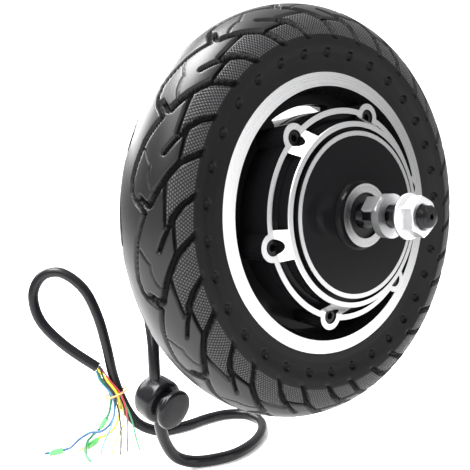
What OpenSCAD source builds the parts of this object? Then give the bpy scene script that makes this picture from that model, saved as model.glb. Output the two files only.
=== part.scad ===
// Hub motor wheel: a pneumatic tyre on a cast rim whose drum is the outer rotor of a motor.
// The wheel turns on two ball bearings about a fixed, threaded axle that also carries the stator.
// The frame's origin is the wheel's centre on the axle, +Y runs along the axle to the cable side,
// and +Z is up. Most parts are drawn in the "front" frame: local Z is -Y of the wheel, so a height
// h is the distance from the wheel's middle plane towards the side without the cable.

/* [Tyre] */
// Outside diameter of the tyre
tyre_od = 254; // [251:0.5:256]
// Widest width of the tyre
tyre_w = 54.8; // [53:0.2:56]

/* [Rim] */
// Outside diameter of the rim flanges
rim_od = 167.6; // [166:0.2:168]
// Distance between the outer faces of the rim flanges
rim_w = 45.7; // [45:0.1:46]
// Thickness of the web between the drum and the rim
web_t = 6; // [4:0.5:8]

/* [Drum and covers] */
// Outside diameter of the motor drum and of its covers
drum_od = 124; // [123:0.5:125]
// Diameter of the circle that the cover screws stand on
screw_pcd = 120; // [119:0.5:121]
// Number of screws in each cover
screw_count = 6; // [6:1:6]
// Angle of the first cover screw
screw_phase = 16; // [0:1:30]

/* [Motor] */
// Number of magnets round the flux ring
magnet_count = 30; // [20:2:30]
// Number of stator slots
slot_count = 27; // [24:3:27]
// Length of the stator stack along the axle
stack_w = 35; // [30:1:36]

/* [Axle] */
// Length of the axle, end to end
axle_len = 173; // [172:0.5:176]
// Diameter of the axle's threaded ends
thread_d = 12; // [12:0.1:12.2]
// Width of the axle across its flats
flat_w = 10; // [9.6:0.1:10.2]

/* [Cable] */
// Outside diameter of the cable's sheath
cable_d = 7.5; // [7:0.1:7.6]
// Diameter of a phase wire
phase_d = 2; // [1.8:0.1:2.2]
// Diameter of a sensor wire
hall_d = 1.2; // [1:0.1:1.4]

/* [Hidden] */
$fn = 96;

// Gap left between pieces of one body that touch on the real object
touch = 0.02;
// Radial running clearance between pieces that turn against each other
run_fit = 0.05;

// Heights from the middle plane
drum_end_h = 24;
cover_rim_h = 31.8;
band_h = 39;
disc_h = 40;
thin_ring_h = 40.3;
boss_h = 44.4;
bearing_h = 27;
bearing_w = 11;
bearing_lip_h = bearing_h + bearing_w;
flats_h = 44;
nut_seat_h = 72.1;
tab_washer_h = 58;
tab_washer_t = 2.5;
flat_washer_t = 2.2;
nut_flange_t = 2;
nut_h = 10;
web_h = 2;

// Radii
tyre_r = tyre_od / 2;
rim_r = rim_od / 2;
barrel_r = 73.5;
seat_r = 77;
drum_r = drum_od / 2;
drum_bore_r = 57.1;
screw_r = screw_pcd / 2;
ear_r = 8;
window_top_r = 67.5;
shaft_r = 10;
journal_r = 7.5;
thread_r = thread_d / 2;
boss_bore_r = 13.1;
bearing_r = 17.5;
washer_r = 12.1;
nut_flange_r = 12.3;
nut_corner_r = 19 / sqrt(3);
cable_bore_r = cable_d / 2 + 0.1;
cord_gap = 0.15;

// ---- Shared helpers ----

// Draws its children with local Z towards the front, which is -Y
module front() {
    rotate([90, 0, 0]) children();
}

// Draws its children on the rear side, as a mirror image of the front
module rear() {
    mirror([0, 1, 0]) front() children();
}

// Repeats its children at even angles about the axle
module around(count, phase = 0) {
    for (i = [0:count - 1]) {
        rotate([0, 0, phase + 360 * i / count]) children();
    }
}

// Turns local Z to point along a direction
module aim(direction) {
    d = direction / norm(direction);
    rotate([0, acos(d[2]), atan2(d[1], d[0])]) children();
}

// A straight ring about local Z
module ring(outer_r, inner_r, h0, h1) {
    rotate_extrude() translate([inner_r, h0]) square([outer_r - inner_r, h1 - h0]);
}

// Rounds a row of points into a smooth curve through them
function between(a, b, c, d, t) =
    0.5 * (2 * b + (c - a) * t + (2 * a - 5 * b + 4 * c - d) * t * t
        + (3 * b - a - 3 * c + d) * t * t * t);
function smooth(p, steps) = concat(
    [for (i = [0:len(p) - 2], s = [0:steps - 1])
        between(p[max(i - 1, 0)], p[i], p[i + 1], p[min(i + 2, len(p) - 1)], s / steps)],
    [p[len(p) - 1]]);
function unit(v) = v / norm(v);
function heading(p, i) = unit(p[min(i + 1, len(p) - 1)] - p[max(i - 1, 0)]);

// Side direction carried along the curve without twisting
function carried(p, i, side, found) =
    i == len(p) ? found
    : let (t = heading(p, i), s = unit(side - (side * t) * t))
        carried(p, i + 1, s, concat(found, [s]));

// A tube of even diameter swept along a route
module tube(route, d, steps, sides = 8) {
    p = smooth(route, steps);
    side = carried(p, 0, [1, 0.3, 0.2], []);
    points = [for (i = [0:len(p) - 1], k = [0:sides - 1])
        let (a = 360 * k / sides, t = heading(p, i))
            p[i] + d / 2 * (cos(a) * side[i] + sin(a) * cross(t, side[i]))];
    walls = [for (i = [0:len(p) - 2], k = [0:sides - 1], half = [0, 1])
        let (a = i * sides + k, b = i * sides + (k + 1) % sides)
            half == 0 ? [a, a + sides, b] : [b, a + sides, b + sides]];
    first = [for (k = [0:sides - 1]) k];
    last = [for (k = [sides - 1:-1:0]) (len(p) - 1) * sides + k];
    polyhedron(points, concat(walls, [first, last]));
}

// ---- Tyre and rim ----

crown_r = 103;
carcass_t = 10;
sidewall_t = 6;
flange_t = 4;
bead_in = 9;

// Cross-section from the crown, down the sidewall, round the bead and back inside: [radius, h]
tyre_half = concat(
    [for (a = [0:9:90]) [crown_r + (tyre_r - crown_r) * cos(a), tyre_w / 2 * sin(a)]],
    [[98.5, tyre_w / 2 - 1], [94.35, tyre_w / 2 - 2.5], [89, tyre_w / 2 - 3.8],
        [rim_r + 0.1, rim_w / 2 + 0.1], [rim_r + 0.1, rim_w / 2 - flange_t - 0.05],
        [seat_r + 0.05, rim_w / 2 - flange_t - 0.05], [seat_r + 0.05, bead_in],
        [seat_r + 4, bead_in + 2], [seat_r + 9, bead_in + 7]],
    [for (a = [90:-9:0])
        [crown_r + (tyre_r - carcass_t - crown_r) * cos(a), (tyre_w / 2 - sidewall_t) * sin(a)]]);

// Adds the mirror image of a half outline that starts and ends on the middle plane
function both_sides(half) = concat(half,
    [for (i = [len(half) - 2:-1:1]) [half[i][0], -half[i][1]]]);

module tyre() {
    color([0.10, 0.10, 0.11]) front() rotate_extrude() polygon(both_sides(tyre_half));
}

// Barrel and flange of the rim: [radius, h]
rim_half = [
    [barrel_r, 0], [barrel_r, 17], [75.8, rim_w / 2], [rim_r, rim_w / 2],
    [rim_r, rim_w / 2 - 2.4], [rim_r - 1, rim_w / 2 - flange_t], [seat_r, rim_w / 2 - flange_t],
    [seat_r, bead_in], [seat_r - 0.8, bead_in - 2], [seat_r - 0.8, 0]
];

valve_angle = 122;
valve_h = -3;
valve_r = 67.8;
valve_hole_r = 4;
window_mid = screw_phase + 90;
window_half = 20;
tap_depth = 16;
screw_shank_r = 2.5;

// Outside of the drum with its screw lugs, seen along the axle
module drum_outline() {
    circle(r = drum_r);
    around(screw_count, screw_phase) translate([screw_r, 0]) circle(r = ear_r);
}

module rim_shell() {
    color([0.16, 0.16, 0.17]) front() difference() {
        union() {
            rotate_extrude() polygon(both_sides(rim_half));
            ring(barrel_r + 1, drum_bore_r + 2, web_h, web_h + web_t);
            translate([0, 0, -drum_end_h]) linear_extrude(2 * drum_end_h) difference() {
                drum_outline();
                circle(r = drum_bore_r);
            }
        }
        for (side = [-1, 1]) {
            around(screw_count, screw_phase)
                translate([screw_r, 0, side * (drum_end_h - tap_depth / 2)])
                    cylinder(r = screw_shank_r + 0.02, h = tap_depth + 0.5, center = true);
        }
        rotate([0, 0, window_mid - window_half]) rotate_extrude(angle = 2 * window_half)
            translate([drum_r + 0.4, web_h - 1]) square([window_top_r - drum_r - 0.4, web_t + 2]);
        rotate([0, 0, valve_angle]) translate([barrel_r - 4, 0, valve_h]) rotate([0, 90, 0])
            cylinder(r = valve_hole_r + 0.05, h = 10);
    }
}

valve_reach = 19;
valve_tip_r = 3;

module valve_stem() {
    color([0.08, 0.08, 0.08]) front() rotate([0, 0, valve_angle]) union() {
        translate([seat_r - 0.4, 0, valve_h]) rotate([0, 90, 0]) cylinder(r = 4.9, h = 2);
        translate([valve_r, 0, valve_h]) rotate([0, 90, 0])
            cylinder(r = valve_hole_r, h = seat_r - valve_r);
        translate([valve_r, 0, valve_h]) sphere(r = valve_hole_r);
        translate([valve_r, 0, valve_h - valve_reach]) cylinder(r = valve_tip_r, h = valve_reach);
    }
}

module valve_cap() {
    color([0.06, 0.06, 0.06]) front() rotate([0, 0, valve_angle])
        translate([valve_r, 0, valve_h - valve_reach - 9]) difference() {
            cylinder(r = 3.8, h = 14);
            translate([0, 0, 8.9]) cylinder(r = valve_tip_r + 0.05, h = 6);
        }
}

// ---- Covers ----

// Cross-section of a cover with its cone left whole: [radius, h]
cover_section = [
    [boss_bore_r, bearing_lip_h], [boss_bore_r, boss_h], [18.1, boss_h], [18.2, 41.7],
    [18.7, 40.6], [20.2, disc_h], [45.4, disc_h], [45.4, thin_ring_h], [48, thin_ring_h],
    [48, 36.8], [50.5, 36.8], [50.5, band_h], [53.3, band_h], [58.3, cover_rim_h],
    [drum_r, cover_rim_h], [drum_r, drum_end_h + touch], [drum_bore_r - 0.1, drum_end_h + touch],
    [drum_bore_r - 0.1, 21.1], [52.5, 21.1], [49.5, 31], [46, 34.6], [23, 34.6], [23, bearing_h],
    [bearing_r + touch, bearing_h], [bearing_r + touch, bearing_lip_h]
];
// Cross-section of the pockets between the ears
pocket_section = [[53.6, 40], [53.9, 30.5], [56, 28.8], [58.7, 29.3], [58.9, 40]];
bridge_half = 8.8;
head_seat_h = 26.6;
head_r = 4.25;
head_h = 4.4;
counterbore_r = 4.6;

module cover() {
    difference() {
        union() {
            rotate_extrude() polygon(cover_section);
            translate([0, 0, drum_end_h + touch])
                linear_extrude(cover_rim_h - drum_end_h - touch) difference() {
                    drum_outline();
                    circle(r = screw_r);
                }
        }
        around(screw_count, screw_phase + bridge_half)
            rotate_extrude(angle = 360 / screw_count - 2 * bridge_half) polygon(pocket_section);
        around(screw_count, screw_phase) translate([screw_r, 0, 0]) {
            translate([0, 0, head_seat_h]) cylinder(r = counterbore_r, h = 14);
            translate([0, 0, 18]) cylinder(r = screw_shank_r + 0.2, h = 14);
        }
    }
}

module front_cover() {
    color([0.13, 0.13, 0.14]) front() cover();
}

module rear_cover() {
    color([0.13, 0.13, 0.14]) rear() cover();
}

// Socket-head screws, sunk in the ears
module cover_screws() {
    around(screw_count, screw_phase) translate([screw_r, 0, 0]) difference() {
        union() {
            translate([0, 0, head_seat_h + touch]) cylinder(r = head_r, h = head_h);
            translate([0, 0, drum_end_h - 14]) cylinder(r = screw_shank_r, h = 17);
        }
        translate([0, 0, head_seat_h + 1.8]) cylinder(r = 2.3, h = 4, $fn = 6);
    }
}

module front_cover_screws() {
    color([0.2, 0.2, 0.2]) front() cover_screws();
}

module rear_cover_screws() {
    color([0.2, 0.2, 0.2]) rear() cover_screws();
}

// Lip seal between the cover's boss and the axle
module seal() {
    ring(boss_bore_r - 0.02, journal_r + run_fit, bearing_lip_h + 0.6, boss_h - 2);
}

module front_seal() {
    color([0.08, 0.08, 0.08]) front() seal();
}

module rear_seal() {
    color([0.08, 0.08, 0.08]) rear() seal();
}

// ---- Bearings, 15 x 35 x 11 ----

ball_r = 2.98;
ball_pitch_r = 12.5;
ball_count = 8;
groove_r = ball_r + 0.07;
bearing_mid = bearing_h + bearing_w / 2;

module groove() {
    translate([0, 0, bearing_mid]) rotate_extrude() translate([ball_pitch_r, 0])
        circle(r = groove_r);
}

module bearing_inner() {
    difference() {
        ring(10.8, journal_r + touch, bearing_h + touch, bearing_lip_h - touch);
        groove();
    }
}

module bearing_outer() {
    difference() {
        ring(bearing_r, 14.2, bearing_h + touch, bearing_lip_h - touch);
        groove();
    }
}

module bearing_balls() {
    around(ball_count) translate([ball_pitch_r, 0, bearing_mid]) sphere(r = ball_r);
}

module bearing_cage() {
    difference() {
        ring(13.3, 11.7, bearing_mid - 3.8, bearing_mid + 3.8);
        around(ball_count) translate([ball_pitch_r - 3, 0, bearing_mid]) rotate([0, 90, 0])
            cylinder(r = ball_r + 0.07, h = 6);
    }
}

module front_bearing_inner() {
    color([0.75, 0.76, 0.78]) front() bearing_inner();
}

module rear_bearing_inner() {
    color([0.75, 0.76, 0.78]) rear() bearing_inner();
}

module front_bearing_outer() {
    color([0.75, 0.76, 0.78]) front() bearing_outer();
}

module rear_bearing_outer() {
    color([0.75, 0.76, 0.78]) rear() bearing_outer();
}

module front_bearing_balls() {
    color([0.85, 0.85, 0.87]) front() bearing_balls();
}

module rear_bearing_balls() {
    color([0.85, 0.85, 0.87]) rear() bearing_balls();
}

module front_bearing_cage() {
    color([0.6, 0.55, 0.35]) front() bearing_cage();
}

module rear_bearing_cage() {
    color([0.6, 0.55, 0.35]) rear() bearing_cage();
}

// ---- Motor ----

flux_r = 53.5;
magnet_r = 50.6;
stator_r = 49.8;
yoke_r = 39;
stator_bore_r = 34;
tooth_w = 4.6;
coil_w = 8.4;
coil_h = stack_w / 2 + 4;
key_w = 3;
lead_h = -22;

module flux_ring() {
    color([0.45, 0.46, 0.48]) front() ring(drum_bore_r - touch, flux_r, -20.5, 20.5);
}

module magnets() {
    sweep = 360 / magnet_count - 1;
    color([0.62, 0.63, 0.66]) front() around(magnet_count) rotate([0, 0, -sweep / 2])
        rotate_extrude(angle = sweep) translate([magnet_r, -stack_w / 2])
            square([flux_r - magnet_r - touch, stack_w]);
}

module stator_core() {
    color([0.5, 0.5, 0.52]) front() translate([0, 0, -stack_w / 2])
        linear_extrude(height = stack_w) intersection() {
            circle(r = stator_r);
            difference() {
                union() {
                    circle(r = yoke_r);
                    around(slot_count) {
                        translate([yoke_r - 1, -tooth_w / 2]) square([stator_r - yoke_r + 2, tooth_w]);
                        translate([stator_r - 2, -coil_w / 2 - 0.5]) square([3, coil_w + 1]);
                    }
                }
                circle(r = stator_bore_r);
            }
        }
}

module windings() {
    color([0.72, 0.38, 0.16]) front() around(slot_count) translate([yoke_r + 0.6, 0, 0])
        difference() {
            translate([0, -coil_w / 2, -coil_h]) cube([7.6, coil_w, 2 * coil_h]);
            translate([-1, -tooth_w / 2 - 0.1, -stack_w / 2 - 0.1])
                cube([10, tooth_w + 0.2, stack_w + 0.2]);
        }
}

module stator_support() {
    hub_r = 15.5;
    color([0.7, 0.71, 0.73]) front() difference() {
        union() {
            ring(stator_bore_r - touch, 29.5, -stack_w / 2, stack_w / 2);
            ring(30, hub_r - 1, -4, 4);
            ring(hub_r, shaft_r + touch, -stack_w / 2, stack_w / 2);
        }
        around(6) translate([22.5, 0, -5]) cylinder(r = 4.5, h = 10);
        translate([0, -key_w / 2, -stack_w / 2 - 1]) cube([11.6, key_w, stack_w + 2]);
    }
}

module stator_key() {
    color([0.6, 0.6, 0.62]) front() translate([8.52, -key_w / 2 + touch, -15])
        cube([3, key_w - 2 * touch, 30]);
}

module hall_board() {
    color([0.10, 0.35, 0.18]) front() rotate([0, 0, 215]) rotate_extrude(angle = 110)
        translate([34, -coil_h - 3]) square([14, 1.6]);
}

module hall_sensors() {
    color([0.12, 0.12, 0.12]) front() for (i = [-1:1]) {
        rotate([0, 0, 270 + 40 * i]) translate([43.5, -2, -coil_h - 4.6]) cube([3, 4, 1.5]);
    }
}

// Leads that run through the axle's bore and out into the drum
module inner_leads() {
    color([0.25, 0.25, 0.27]) front() union() {
        translate([0, 0, -axle_len / 2 + 0.2]) cylinder(r = 3, h = axle_len / 2 + lead_h);
        rotate([-90, 0, 90]) translate([0, -lead_h, -2]) cylinder(r = 2.6, h = 20);
    }
}

// ---- Axle and what is clamped on it ----

module axle() {
    end = axle_len / 2;
    color([0.20, 0.20, 0.21]) front() difference() {
        union() {
            translate([0, 0, -bearing_h]) cylinder(r = shaft_r, h = 2 * bearing_h);
            translate([0, 0, -flats_h - 2]) cylinder(r = journal_r, h = 2 * flats_h + 4);
            translate([0, 0, -end]) cylinder(r = thread_r, h = 2 * end);
        }
        for (side = [-1, 1], face = [-1, 1]) {
            translate([face * (flat_w / 2 + 5), 0, side * (flats_h + nut_seat_h + 2) / 2])
                cube([10, 16, nut_seat_h - flats_h + 2], center = true);
        }
        translate([8.5, -key_w / 2, -16]) cube([3, key_w, 32]);
        translate([0, 0, -end - 1]) cylinder(r = cable_bore_r, h = end + lead_h + 4);
        rotate([-90, 0, 90]) translate([0, -lead_h, 0]) cylinder(r = 3.2, h = 20);
        translate([0, 0, end - 3]) cylinder(r = 1.4, h = 4);
    }
}

module double_d(r, across, h0, h1) {
    translate([0, 0, h0]) linear_extrude(height = h1 - h0) intersection() {
        circle(r = r);
        square([across, 2 * r + 1], center = true);
    }
}

// Washer whose bent tab stops the axle from turning in its dropout
module tab_washer() {
    tab_angle = 145;
    tab_w = 8.6;
    tab_len = 6.5;
    difference() {
        union() {
            translate([0, 0, tab_washer_h]) cylinder(r = washer_r, h = tab_washer_t);
            rotate([0, 0, tab_angle]) translate([washer_r - 2.2, -tab_w / 2, tab_washer_h - tab_len])
                cube([2.4, tab_w, tab_len + tab_washer_t]);
        }
        double_d(thread_r + 0.1, flat_w + 0.2, tab_washer_h - 1, tab_washer_h + 4);
    }
}

module flat_washer() {
    base = tab_washer_h + tab_washer_t + touch;
    ring(washer_r, thread_r + 0.8, base, base + flat_washer_t);
}

module flange_nut() {
    difference() {
        union() {
            translate([0, 0, nut_seat_h]) cylinder(r = nut_flange_r, h = nut_flange_t);
            translate([0, 0, nut_seat_h + nut_flange_t - 0.5]) rotate([0, 0, 8])
                cylinder(r = nut_corner_r, h = nut_h - nut_flange_t + 0.5, $fn = 6);
        }
        translate([0, 0, nut_seat_h - 1]) cylinder(r = thread_r + touch, h = nut_h + 2);
    }
}

module front_tab_washer() {
    color([0.85, 0.85, 0.86]) front() tab_washer();
}

module rear_tab_washer() {
    color([0.85, 0.85, 0.86]) rear() tab_washer();
}

module front_flat_washer() {
    color([0.8, 0.8, 0.82]) front() flat_washer();
}

module rear_flat_washer() {
    color([0.8, 0.8, 0.82]) rear() flat_washer();
}

module front_flange_nut() {
    color([0.88, 0.88, 0.9]) front() flange_nut();
}

module rear_flange_nut() {
    color([0.88, 0.88, 0.9]) rear() flange_nut();
}

// ---- Cable, laid as it lies at rest: it leaves the axle's rear end, hangs behind the wheel,
// makes one loop on the surface 168.7 mm below the axle and a standing loop tied at its foot ----

cable_route = [
    [0, 86.7, 0], [0, 98, 0], [0, 110, 0], [-4, 122, -5], [-14, 131, -16], [-30, 133, -30],
    [-48, 124, -42], [-64, 106, -51], [-76, 83, -58], [-84, 62, -67], [-88, 49, -80],
    [-89.5, 44, -98], [-88, 44, -114], [-86, 44.5, -130], [-81, 47, -145], [-72, 49, -158],
    [-59, 48, -164.5], [-44, 43, -165], [-28, 42, -165], [-9, 48, -165], [8, 60, -165],
    [18, 75, -165], [17, 91, -165], [4, 101, -165], [-15, 103, -165], [-36, 101, -165],
    [-56, 104, -164.5], [-71, 109, -157], [-80, 113, -142], [-86, 118, -122], [-90, 121, -99],
    [-95, 125, -76], [-103, 131, -56], [-116, 140, -44], [-128, 147, -46], [-134, 150, -60],
    [-130, 147, -79], [-116, 136, -97], [-97, 121, -113]
];

module motor_cable() {
    color([0.07, 0.07, 0.08]) tube(cable_route, cable_d, 2);
}

// Tapered rubber sleeve where the cable leaves the axle
module cable_strain_relief() {
    color([0.06, 0.06, 0.06]) rear() difference() {
        translate([0, 0, axle_len / 2 + touch]) cylinder(r1 = 5.6, r2 = 4.5, h = 22);
        translate([0, 0, axle_len / 2 - 1]) cylinder(r = cable_bore_r, h = 26);
    }
}

grommet_at = [-88.2, 44.3, -113.5];
grommet_axis = [0.234, -0.962, -0.215];

// Round bung moulded across the cable: a drum, a neck and a disc that snaps into a frame hole
module cable_grommet() {
    color([0.05, 0.05, 0.05]) translate(grommet_at) aim(grommet_axis) {
        difference() {
            rotate_extrude() polygon([[0, -9], [8, -9], [12, -7], [13.5, -3], [13.5, 7],
                [12.6, 8.6], [9, 9], [7.2, 10], [7.2, 14], [11.4, 14.4], [12, 15.4],
                [12, 17.4], [11, 18.6], [0, 18.6]]);
            cable_passage();
        }
    }
}

// Hole across the bung for the cable, in the bung's own frame
module cable_passage() {
    down = [1.5, 0.5, -16];
    d = grommet_axis / norm(grommet_axis);
    rotate([0, -acos(d[2]), 0]) rotate([0, 0, -atan2(d[1], d[0])]) aim(down)
        cylinder(r = cable_bore_r + 0.25, h = 60, center = true);
}

tie_at = [-86, 113.2, -132];
tie_axis = [-0.28, 0.23, 0.93];

module wire_tie() {
    color([0.85, 0.55, 0.2]) translate(tie_at) aim(tie_axis) rotate_extrude()
        translate([8.2, 0]) circle(r = 0.7, $fn = 24);
}

// ---- Wires past the sheath's end ----

sleeve_z = -166.8;
phase_routes = [
    // yellow
    [[-97.5, 119.8, -113.2], [-93, 113.6, -121.5], [-87.5, 108.6, -131], [-86.5, 107, -141],
        [-87, 109, -151], [-89, 115, -160], [-91.5, 122, -165.5], [-96, 123, sleeve_z],
        [-103, 118.5, sleeve_z], [-110, 114, sleeve_z], [-113, 112.1, sleeve_z]],
    // green
    [[-96.8, 121.7, -114.1], [-96, 117.3, -121.5], [-91.5, 111.3, -131], [-92.5, 109.5, -140],
        [-94.5, 110.5, -147], [-98.5, 113.5, -155], [-104, 116.5, -161], [-109.5, 112, -163],
        [-112.5, 105.5, -166.8], [-113, 98, -167.6], [-112.6, 92, -167.6]],
    // blue
    [[-95.9, 120.9, -112.3], [-93.4, 116.8, -121.5], [-88.9, 111.5, -131], [-89.4, 108.9, -141],
        [-92, 108, -150], [-98, 111, -156.5], [-105.5, 115.5, -157.5], [-112.5, 118, -161.5],
        [-118, 118.8, -165.8], [-123, 119.3, sleeve_z], [-130, 120.5, sleeve_z],
        [-136, 121.6, sleeve_z]]
];
hall_routes = [
    // red
    [[-94.8, 122.6, -112.7], [-90.8, 115.2, -121.5], [-85, 109, -131], [-82.5, 105, -142],
        [-82, 103, -153], [-83, 101, -163], [-85, 97, -167.6], [-87, 93, -168]],
    // black
    [[-96.6, 118.9, -111.2], [-95, 113.4, -121], [-90.2, 108.2, -131], [-88.5, 104, -142],
        [-88, 101.5, -153], [-89, 99, -163], [-91, 95, -167.6], [-93, 91, -168]],
    // yellow
    [[-98.4, 121.1, -115.4], [-94.4, 118.8, -122], [-87, 112.3, -131.5], [-84, 107, -142],
        [-84.8, 105, -153], [-90, 104, -162], [-95, 100, -167.4], [-97.5, 96, -168]],
    // green
    [[-95.4, 123.1, -113.8], [-91.8, 118.2, -122], [-85.3, 111.2, -131], [-80.5, 106.5, -143],
        [-77.8, 104, -153], [-77, 100, -163], [-77.6, 94, -167.6], [-79, 89, -168]],
    // blue
    [[-98.8, 120, -114.9], [-97.6, 115.2, -121.5], [-91.2, 109.8, -131], [-91.2, 105.5, -141],
        [-94, 104.5, -152], [-99.5, 104, -162], [-103, 101, -167.2], [-104.5, 97, -168]]
];
phase_steps = 2;
hall_steps = 3;

module phase_wire_yellow() {
    color([0.93, 0.83, 0.15]) tube(phase_routes[0], phase_d, phase_steps);
}

module phase_wire_green() {
    color([0.08, 0.45, 0.25]) tube(phase_routes[1], phase_d, phase_steps);
}

module phase_wire_blue() {
    color([0.15, 0.30, 0.48]) tube(phase_routes[2], phase_d, phase_steps);
}

module hall_wire_red() {
    color([0.8, 0.12, 0.15]) tube(hall_routes[0], hall_d, hall_steps);
}

module hall_wire_black() {
    color([0.08, 0.08, 0.08]) tube(hall_routes[1], hall_d, hall_steps);
}

module hall_wire_yellow() {
    color([0.95, 0.88, 0.35]) tube(hall_routes[2], hall_d, hall_steps);
}

module hall_wire_green() {
    color([0.2, 0.6, 0.35]) tube(hall_routes[3], hall_d, hall_steps);
}

module hall_wire_blue() {
    color([0.3, 0.5, 0.7]) tube(hall_routes[4], hall_d, hall_steps);
}

// A round piece from one point to another, with a bore that clears the wire in it
module span(from, to, r, bore_r) {
    translate(from) aim(to - from) difference() {
        cylinder(r = r, h = norm(to - from));
        translate([0, 0, -1]) cylinder(r = bore_r, h = norm(to - from) + 2);
    }
}

module terminal_sleeves() {
    bore_r = phase_d / 2 + cord_gap;
    color([0.3, 0.9, 0.35]) {
        span([-98, 121.71, sleeve_z], [-108, 115.29, sleeve_z], 1.9, bore_r);
        span([-94.9, 110.8, -147.8], [-98.5, 113.5, -155], 1.9, bore_r);
        span([-124, 119.47, sleeve_z], [-133, 121.05, sleeve_z], 1.9, bore_r);
    }
}

// Bullet terminal crimped on a wire's end: a barrel, a collar and a blunt pin
module bullet(from, direction, length, r) {
    translate(from) aim(direction) rotate_extrude()
        polygon([[0, 0], [r, 0], [r, length * 0.4], [r * 0.6, length * 0.45],
            [r * 0.6, length * 0.55], [r * 0.9, length * 0.6], [r * 0.9, length * 0.9],
            [r * 0.4, length], [0, length]]);
}

// Last leg of a route, from its last point but one
function end_of(route) = route[len(route) - 1];
function leg_of(route) = end_of(route) - route[len(route) - 2];

module phase_terminals() {
    color([0.85, 0.82, 0.7]) for (route = phase_routes) {
        bullet(end_of(route) + touch * unit(leg_of(route)), leg_of(route), 12, 1.1);
    }
}

module hall_terminals() {
    color([0.86, 0.84, 0.76]) for (route = hall_routes) {
        bullet(end_of(route) + touch * unit(leg_of(route)), [leg_of(route)[0], leg_of(route)[1], 0],
            8, 0.7);
    }
}

axle();
stator_key();
stator_support();
stator_core();
windings();
hall_board();
hall_sensors();
inner_leads();
front_bearing_inner();
rear_bearing_inner();
front_bearing_balls();
front_bearing_cage();
rear_bearing_balls();
rear_bearing_cage();
front_bearing_outer();
rear_bearing_outer();
front_seal();
rear_seal();
front_cover();
rear_cover();
front_cover_screws();
rear_cover_screws();
rim_shell();
flux_ring();
magnets();
tyre();
valve_stem();
valve_cap();
front_tab_washer();
rear_tab_washer();
front_flat_washer();
rear_flat_washer();
front_flange_nut();
rear_flange_nut();
cable_strain_relief();
motor_cable();
cable_grommet();
wire_tie();
phase_wire_yellow();
phase_wire_green();
phase_wire_blue();
hall_wire_red();
hall_wire_black();
hall_wire_yellow();
hall_wire_green();
hall_wire_blue();
terminal_sleeves();
phase_terminals();
hall_terminals();
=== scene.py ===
import math

import bmesh
import bpy
import numpy as np
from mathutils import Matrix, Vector


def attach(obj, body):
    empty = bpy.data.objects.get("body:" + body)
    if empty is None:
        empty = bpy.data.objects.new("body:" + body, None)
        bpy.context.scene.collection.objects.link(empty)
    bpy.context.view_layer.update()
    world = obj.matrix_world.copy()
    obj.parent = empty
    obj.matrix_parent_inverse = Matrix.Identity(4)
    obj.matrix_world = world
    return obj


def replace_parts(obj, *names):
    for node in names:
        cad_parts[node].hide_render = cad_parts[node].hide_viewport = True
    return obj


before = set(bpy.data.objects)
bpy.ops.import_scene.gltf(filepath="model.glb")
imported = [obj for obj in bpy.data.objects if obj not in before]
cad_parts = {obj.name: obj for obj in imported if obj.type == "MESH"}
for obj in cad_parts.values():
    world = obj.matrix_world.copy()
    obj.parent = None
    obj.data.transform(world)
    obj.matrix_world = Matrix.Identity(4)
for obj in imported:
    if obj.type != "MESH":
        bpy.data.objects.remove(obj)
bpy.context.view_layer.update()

# Places and sizes below are in mm, in the wheel's own frame: its axle lies along Y with the
# front at -Y, and Z is up. A height h counts from the middle plane towards the front or rear.
MM = 0.001
scene = bpy.context.scene


# ---------------------------------------------------------------- camera and cords

def mm(point):
    return tuple(c * MM for c in point)


camera = bpy.data.objects.new("camera", bpy.data.cameras.new("camera"))
scene.collection.objects.link(camera)
scene.camera = camera
camera.location = mm((-231.8, -242.05, 6.32))
camera_aim = Vector(mm((-35.76, 33.88, -13.65)))
camera.rotation_euler = (camera_aim - camera.location).to_track_quat("-Z", "Y").to_euler()
camera.data.sensor_width = 36
camera.data.lens = 39.82
camera.data.clip_start = 0.01

CABLE_D = 7.5
CABLE_ROUTE = [
    (0, 86.7, 0), (0, 98, 0), (0, 110, 0), (-4, 122, -5), (-14, 131, -16), (-30, 133, -30),
    (-48, 124, -42), (-64, 106, -51), (-76, 83, -58), (-84, 62, -67), (-88, 49, -80),
    (-89.5, 44, -98), (-88, 44, -114), (-86, 44.5, -130), (-81, 47, -145), (-72, 49, -158),
    (-59, 48, -164.5), (-44, 43, -165), (-28, 42, -165), (-9, 48, -165), (8, 60, -165),
    (18, 75, -165), (17, 91, -165), (4, 101, -165), (-15, 103, -165), (-36, 101, -165),
    (-56, 104, -164.5), (-71, 109, -157), (-80, 113, -142), (-86, 118, -122), (-90, 121, -99),
    (-95, 125, -76), (-103, 131, -56), (-116, 140, -44), (-128, 147, -46), (-134, 150, -60),
    (-130, 147, -79), (-116, 136, -97), (-97, 121, -113),
]
SLEEVE_Z = -166.8
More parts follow.
